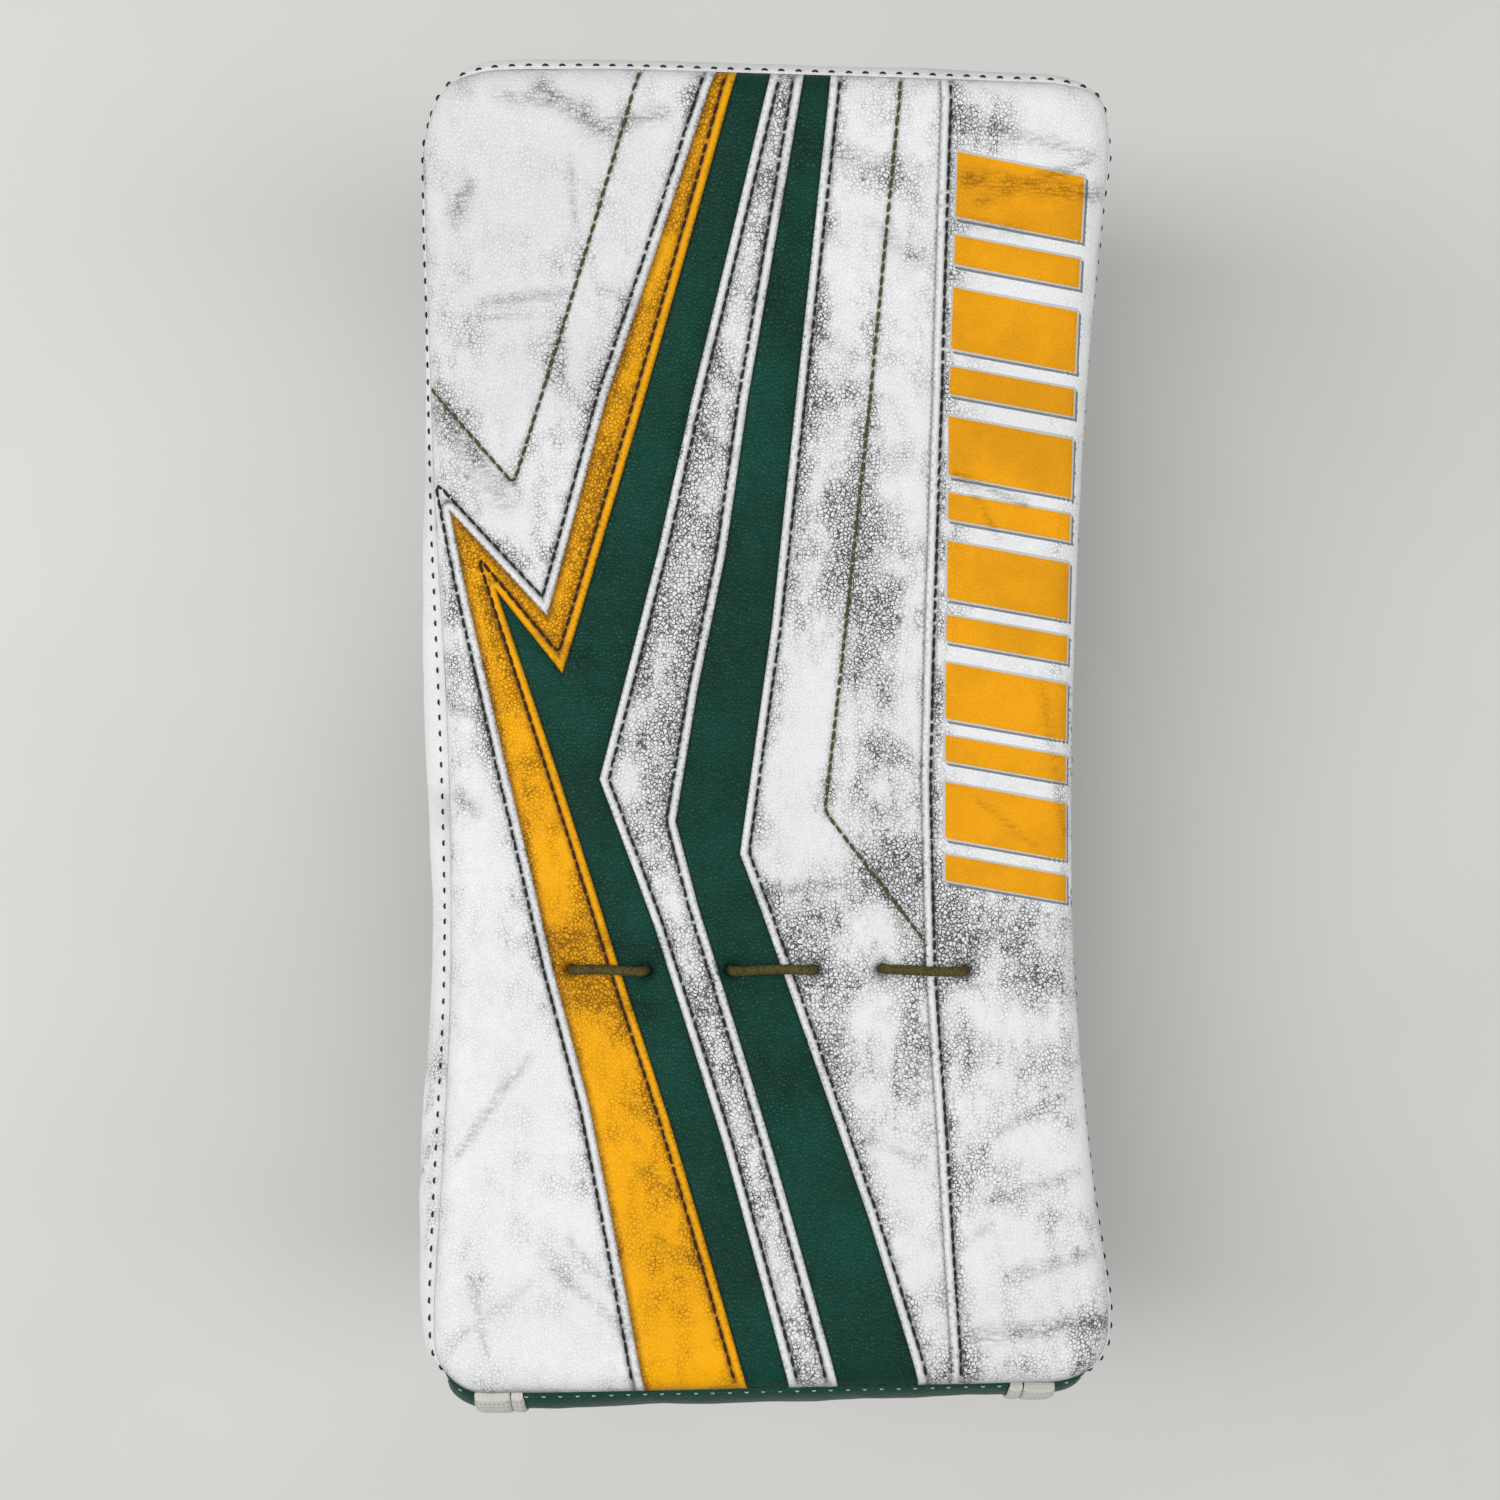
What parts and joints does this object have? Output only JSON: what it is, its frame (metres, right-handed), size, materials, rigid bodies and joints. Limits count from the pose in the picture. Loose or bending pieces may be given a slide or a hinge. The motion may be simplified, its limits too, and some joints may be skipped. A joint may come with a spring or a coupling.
{
  "type": "goalie blocker",
  "caption": "Curved, padded goalie blocker board with a right-hand glove, finger and thumb guards and a wrist cuff laced to its back.",
  "frame": {"origin": "on the surface that the cuff's rim and the fingertips rest on, below the middle of the board", "axes": "+Z is the way the board's front face looks, +Y runs towards the fingertips, +X towards the little finger"},
  "size_m": [0.2072, 0.3995, 0.1584],
  "materials": {
    "white_skin": "worn grained synthetic leather",
    "yellow_skin": "worn grained synthetic leather",
    "green_skin": "worn grained synthetic leather",
    "cuff_shell": "padded, covered in synthetic leather",
    "back_skin": "matt woven nylon",
    "foam": "closed-cell foam",
    "stiffener": "sheet plastic",
    "lace": "braided cord",
    "webbing_white": "woven webbing",
    "webbing_black": "woven webbing",
    "hook_loop": "hook and loop",
    "palm": "soft suede-like palm leather",
    "liner": "brushed lining",
    "cap": "moulded plastic under skin"
  },
  "bodies": {
    "board": {"back_cover": "back_skin", "backhand_hook_patch": "hook_loop", "backhand_pad": "liner", "band_green_left": "green_skin", "band_green_right": "green_skin", "board_lace": "lace", "board_loop_patch": "hook_loop", "chevron_yellow": "yellow_skin", "cuff_binding_left": "webbing_black", "cuff_binding_right": "webbing_black", "cuff_pad": "liner", "cuff_wing_left": "cuff_shell", "cuff_wing_right": "cuff_shell", "edge_tabs": "webbing_white", "foam_back": "foam", "foam_front": "foam", "index_guard": "white_skin", "lace_knots": "lace", "loop_patch": "hook_loop", "palm_leather": "palm", "palm_side_walls": "back_skin", "panel_white_left": "white_skin", "panel_white_middle": "white_skin", "panel_white_side": "white_skin", "side_blocks": "yellow_skin", "side_strip_bottom": "green_skin", "side_strip_left": "white_skin", "side_strip_right": "white_skin", "side_strip_top": "white_skin", "stiffener_sheet": "stiffener", "stripe_white": "white_skin", "thumb_side_roll": "white_skin", "wrist_strap": "webbing_black"},
    "strap_end": {"hook_patch": "hook_loop", "strap_pull": "webbing_black", "strap_tab": "webbing_black"},
    "index_base": {"index_base_pad": "white_skin", "index_base_sleeve": "palm"},
    "index_tip": {"index_tip_pad": "white_skin", "index_tip_sleeve": "palm"},
    "little_base": {"little_base_pad": "white_skin", "little_base_sleeve": "palm"},
    "little_tip": {"little_tip_pad": "white_skin", "little_tip_sleeve": "palm"},
    "middle_base": {"middle_base_pad": "white_skin", "middle_base_sleeve": "palm"},
    "middle_tip": {"middle_tip_pad": "white_skin", "middle_tip_sleeve": "palm"},
    "ring_base": {"ring_base_pad": "white_skin", "ring_base_sleeve": "palm"},
    "ring_tip": {"ring_tip_pad": "white_skin", "ring_tip_sleeve": "palm"},
    "thumb_base": {"thumb_base_pad": "white_skin", "thumb_base_sleeve": "palm"},
    "thumb_tip": {"thumb_cap": "cap", "thumb_tip_pad": "white_skin", "thumb_tip_sleeve": "palm"}
  },
  "joints": [
    {"name": "index_knuckle", "type": "hinge", "parent": "board", "child": "index_base", "pos_m": [-0.039, 0.034, 0.071], "axis": [-1, 0, 0], "range_deg": [-12, 30]},
    {"name": "index_middle_joint", "type": "hinge", "parent": "index_base", "child": "index_tip", "pos_m": [-0.039, 0.07168, 0.05028], "axis": [-1, 0, 0], "range_deg": [-16.8, 42]},
    {"name": "middle_knuckle", "type": "hinge", "parent": "board", "child": "middle_base", "pos_m": [-0.013, 0.034, 0.071], "axis": [-1, 0, 0], "range_deg": [-12, 30]},
    {"name": "middle_middle_joint", "type": "hinge", "parent": "middle_base", "child": "middle_tip", "pos_m": [-0.013, 0.07572, 0.05414], "axis": [-1, 0, 0], "range_deg": [-16.8, 42]},
    {"name": "ring_knuckle", "type": "hinge", "parent": "board", "child": "ring_base", "pos_m": [0.013, 0.034, 0.071], "axis": [-1, 0, 0], "range_deg": [-12, 30]},
    {"name": "ring_middle_joint", "type": "hinge", "parent": "ring_base", "child": "ring_tip", "pos_m": [0.013, 0.07168, 0.05028], "axis": [-1, 0, 0], "range_deg": [-16.8, 42]},
    {"name": "little_knuckle", "type": "hinge", "parent": "board", "child": "little_base", "pos_m": [0.039, 0.034, 0.071], "axis": [-1, 0, 0], "range_deg": [-12, 30]},
    {"name": "little_middle_joint", "type": "hinge", "parent": "little_base", "child": "little_tip", "pos_m": [0.039, 0.06474, 0.04866], "axis": [-1, 0, 0], "range_deg": [-16.8, 42]},
    {"name": "thumb_knuckle", "type": "hinge", "parent": "board", "child": "thumb_base", "pos_m": [-0.057, -0.016, 0.071], "axis": [-0.766, -0.6428, 0], "range_deg": [-8, 22]},
    {"name": "thumb_middle_joint", "type": "hinge", "parent": "thumb_base", "child": "thumb_tip", "pos_m": [-0.07374, 0.00395, 0.04915], "axis": [-0.766, -0.6428, 0], "range_deg": [-9.6, 26.4]},
    {"name": "strap_peel", "type": "hinge", "parent": "board", "child": "strap_end", "pos_m": [-0.06366, -0.093, 0.04], "axis": [-0.1182, -0.993, 0], "range_deg": [0, 150]}
  ],
  "couplings": [
    {"joint": "index_middle_joint", "follows": "index_knuckle", "ratio": 1.4},
    {"joint": "middle_middle_joint", "follows": "middle_knuckle", "ratio": 1.4},
    {"joint": "ring_middle_joint", "follows": "ring_knuckle", "ratio": 1.4},
    {"joint": "little_middle_joint", "follows": "little_knuckle", "ratio": 1.4},
    {"joint": "thumb_middle_joint", "follows": "thumb_knuckle", "ratio": 1.2}
  ]
}
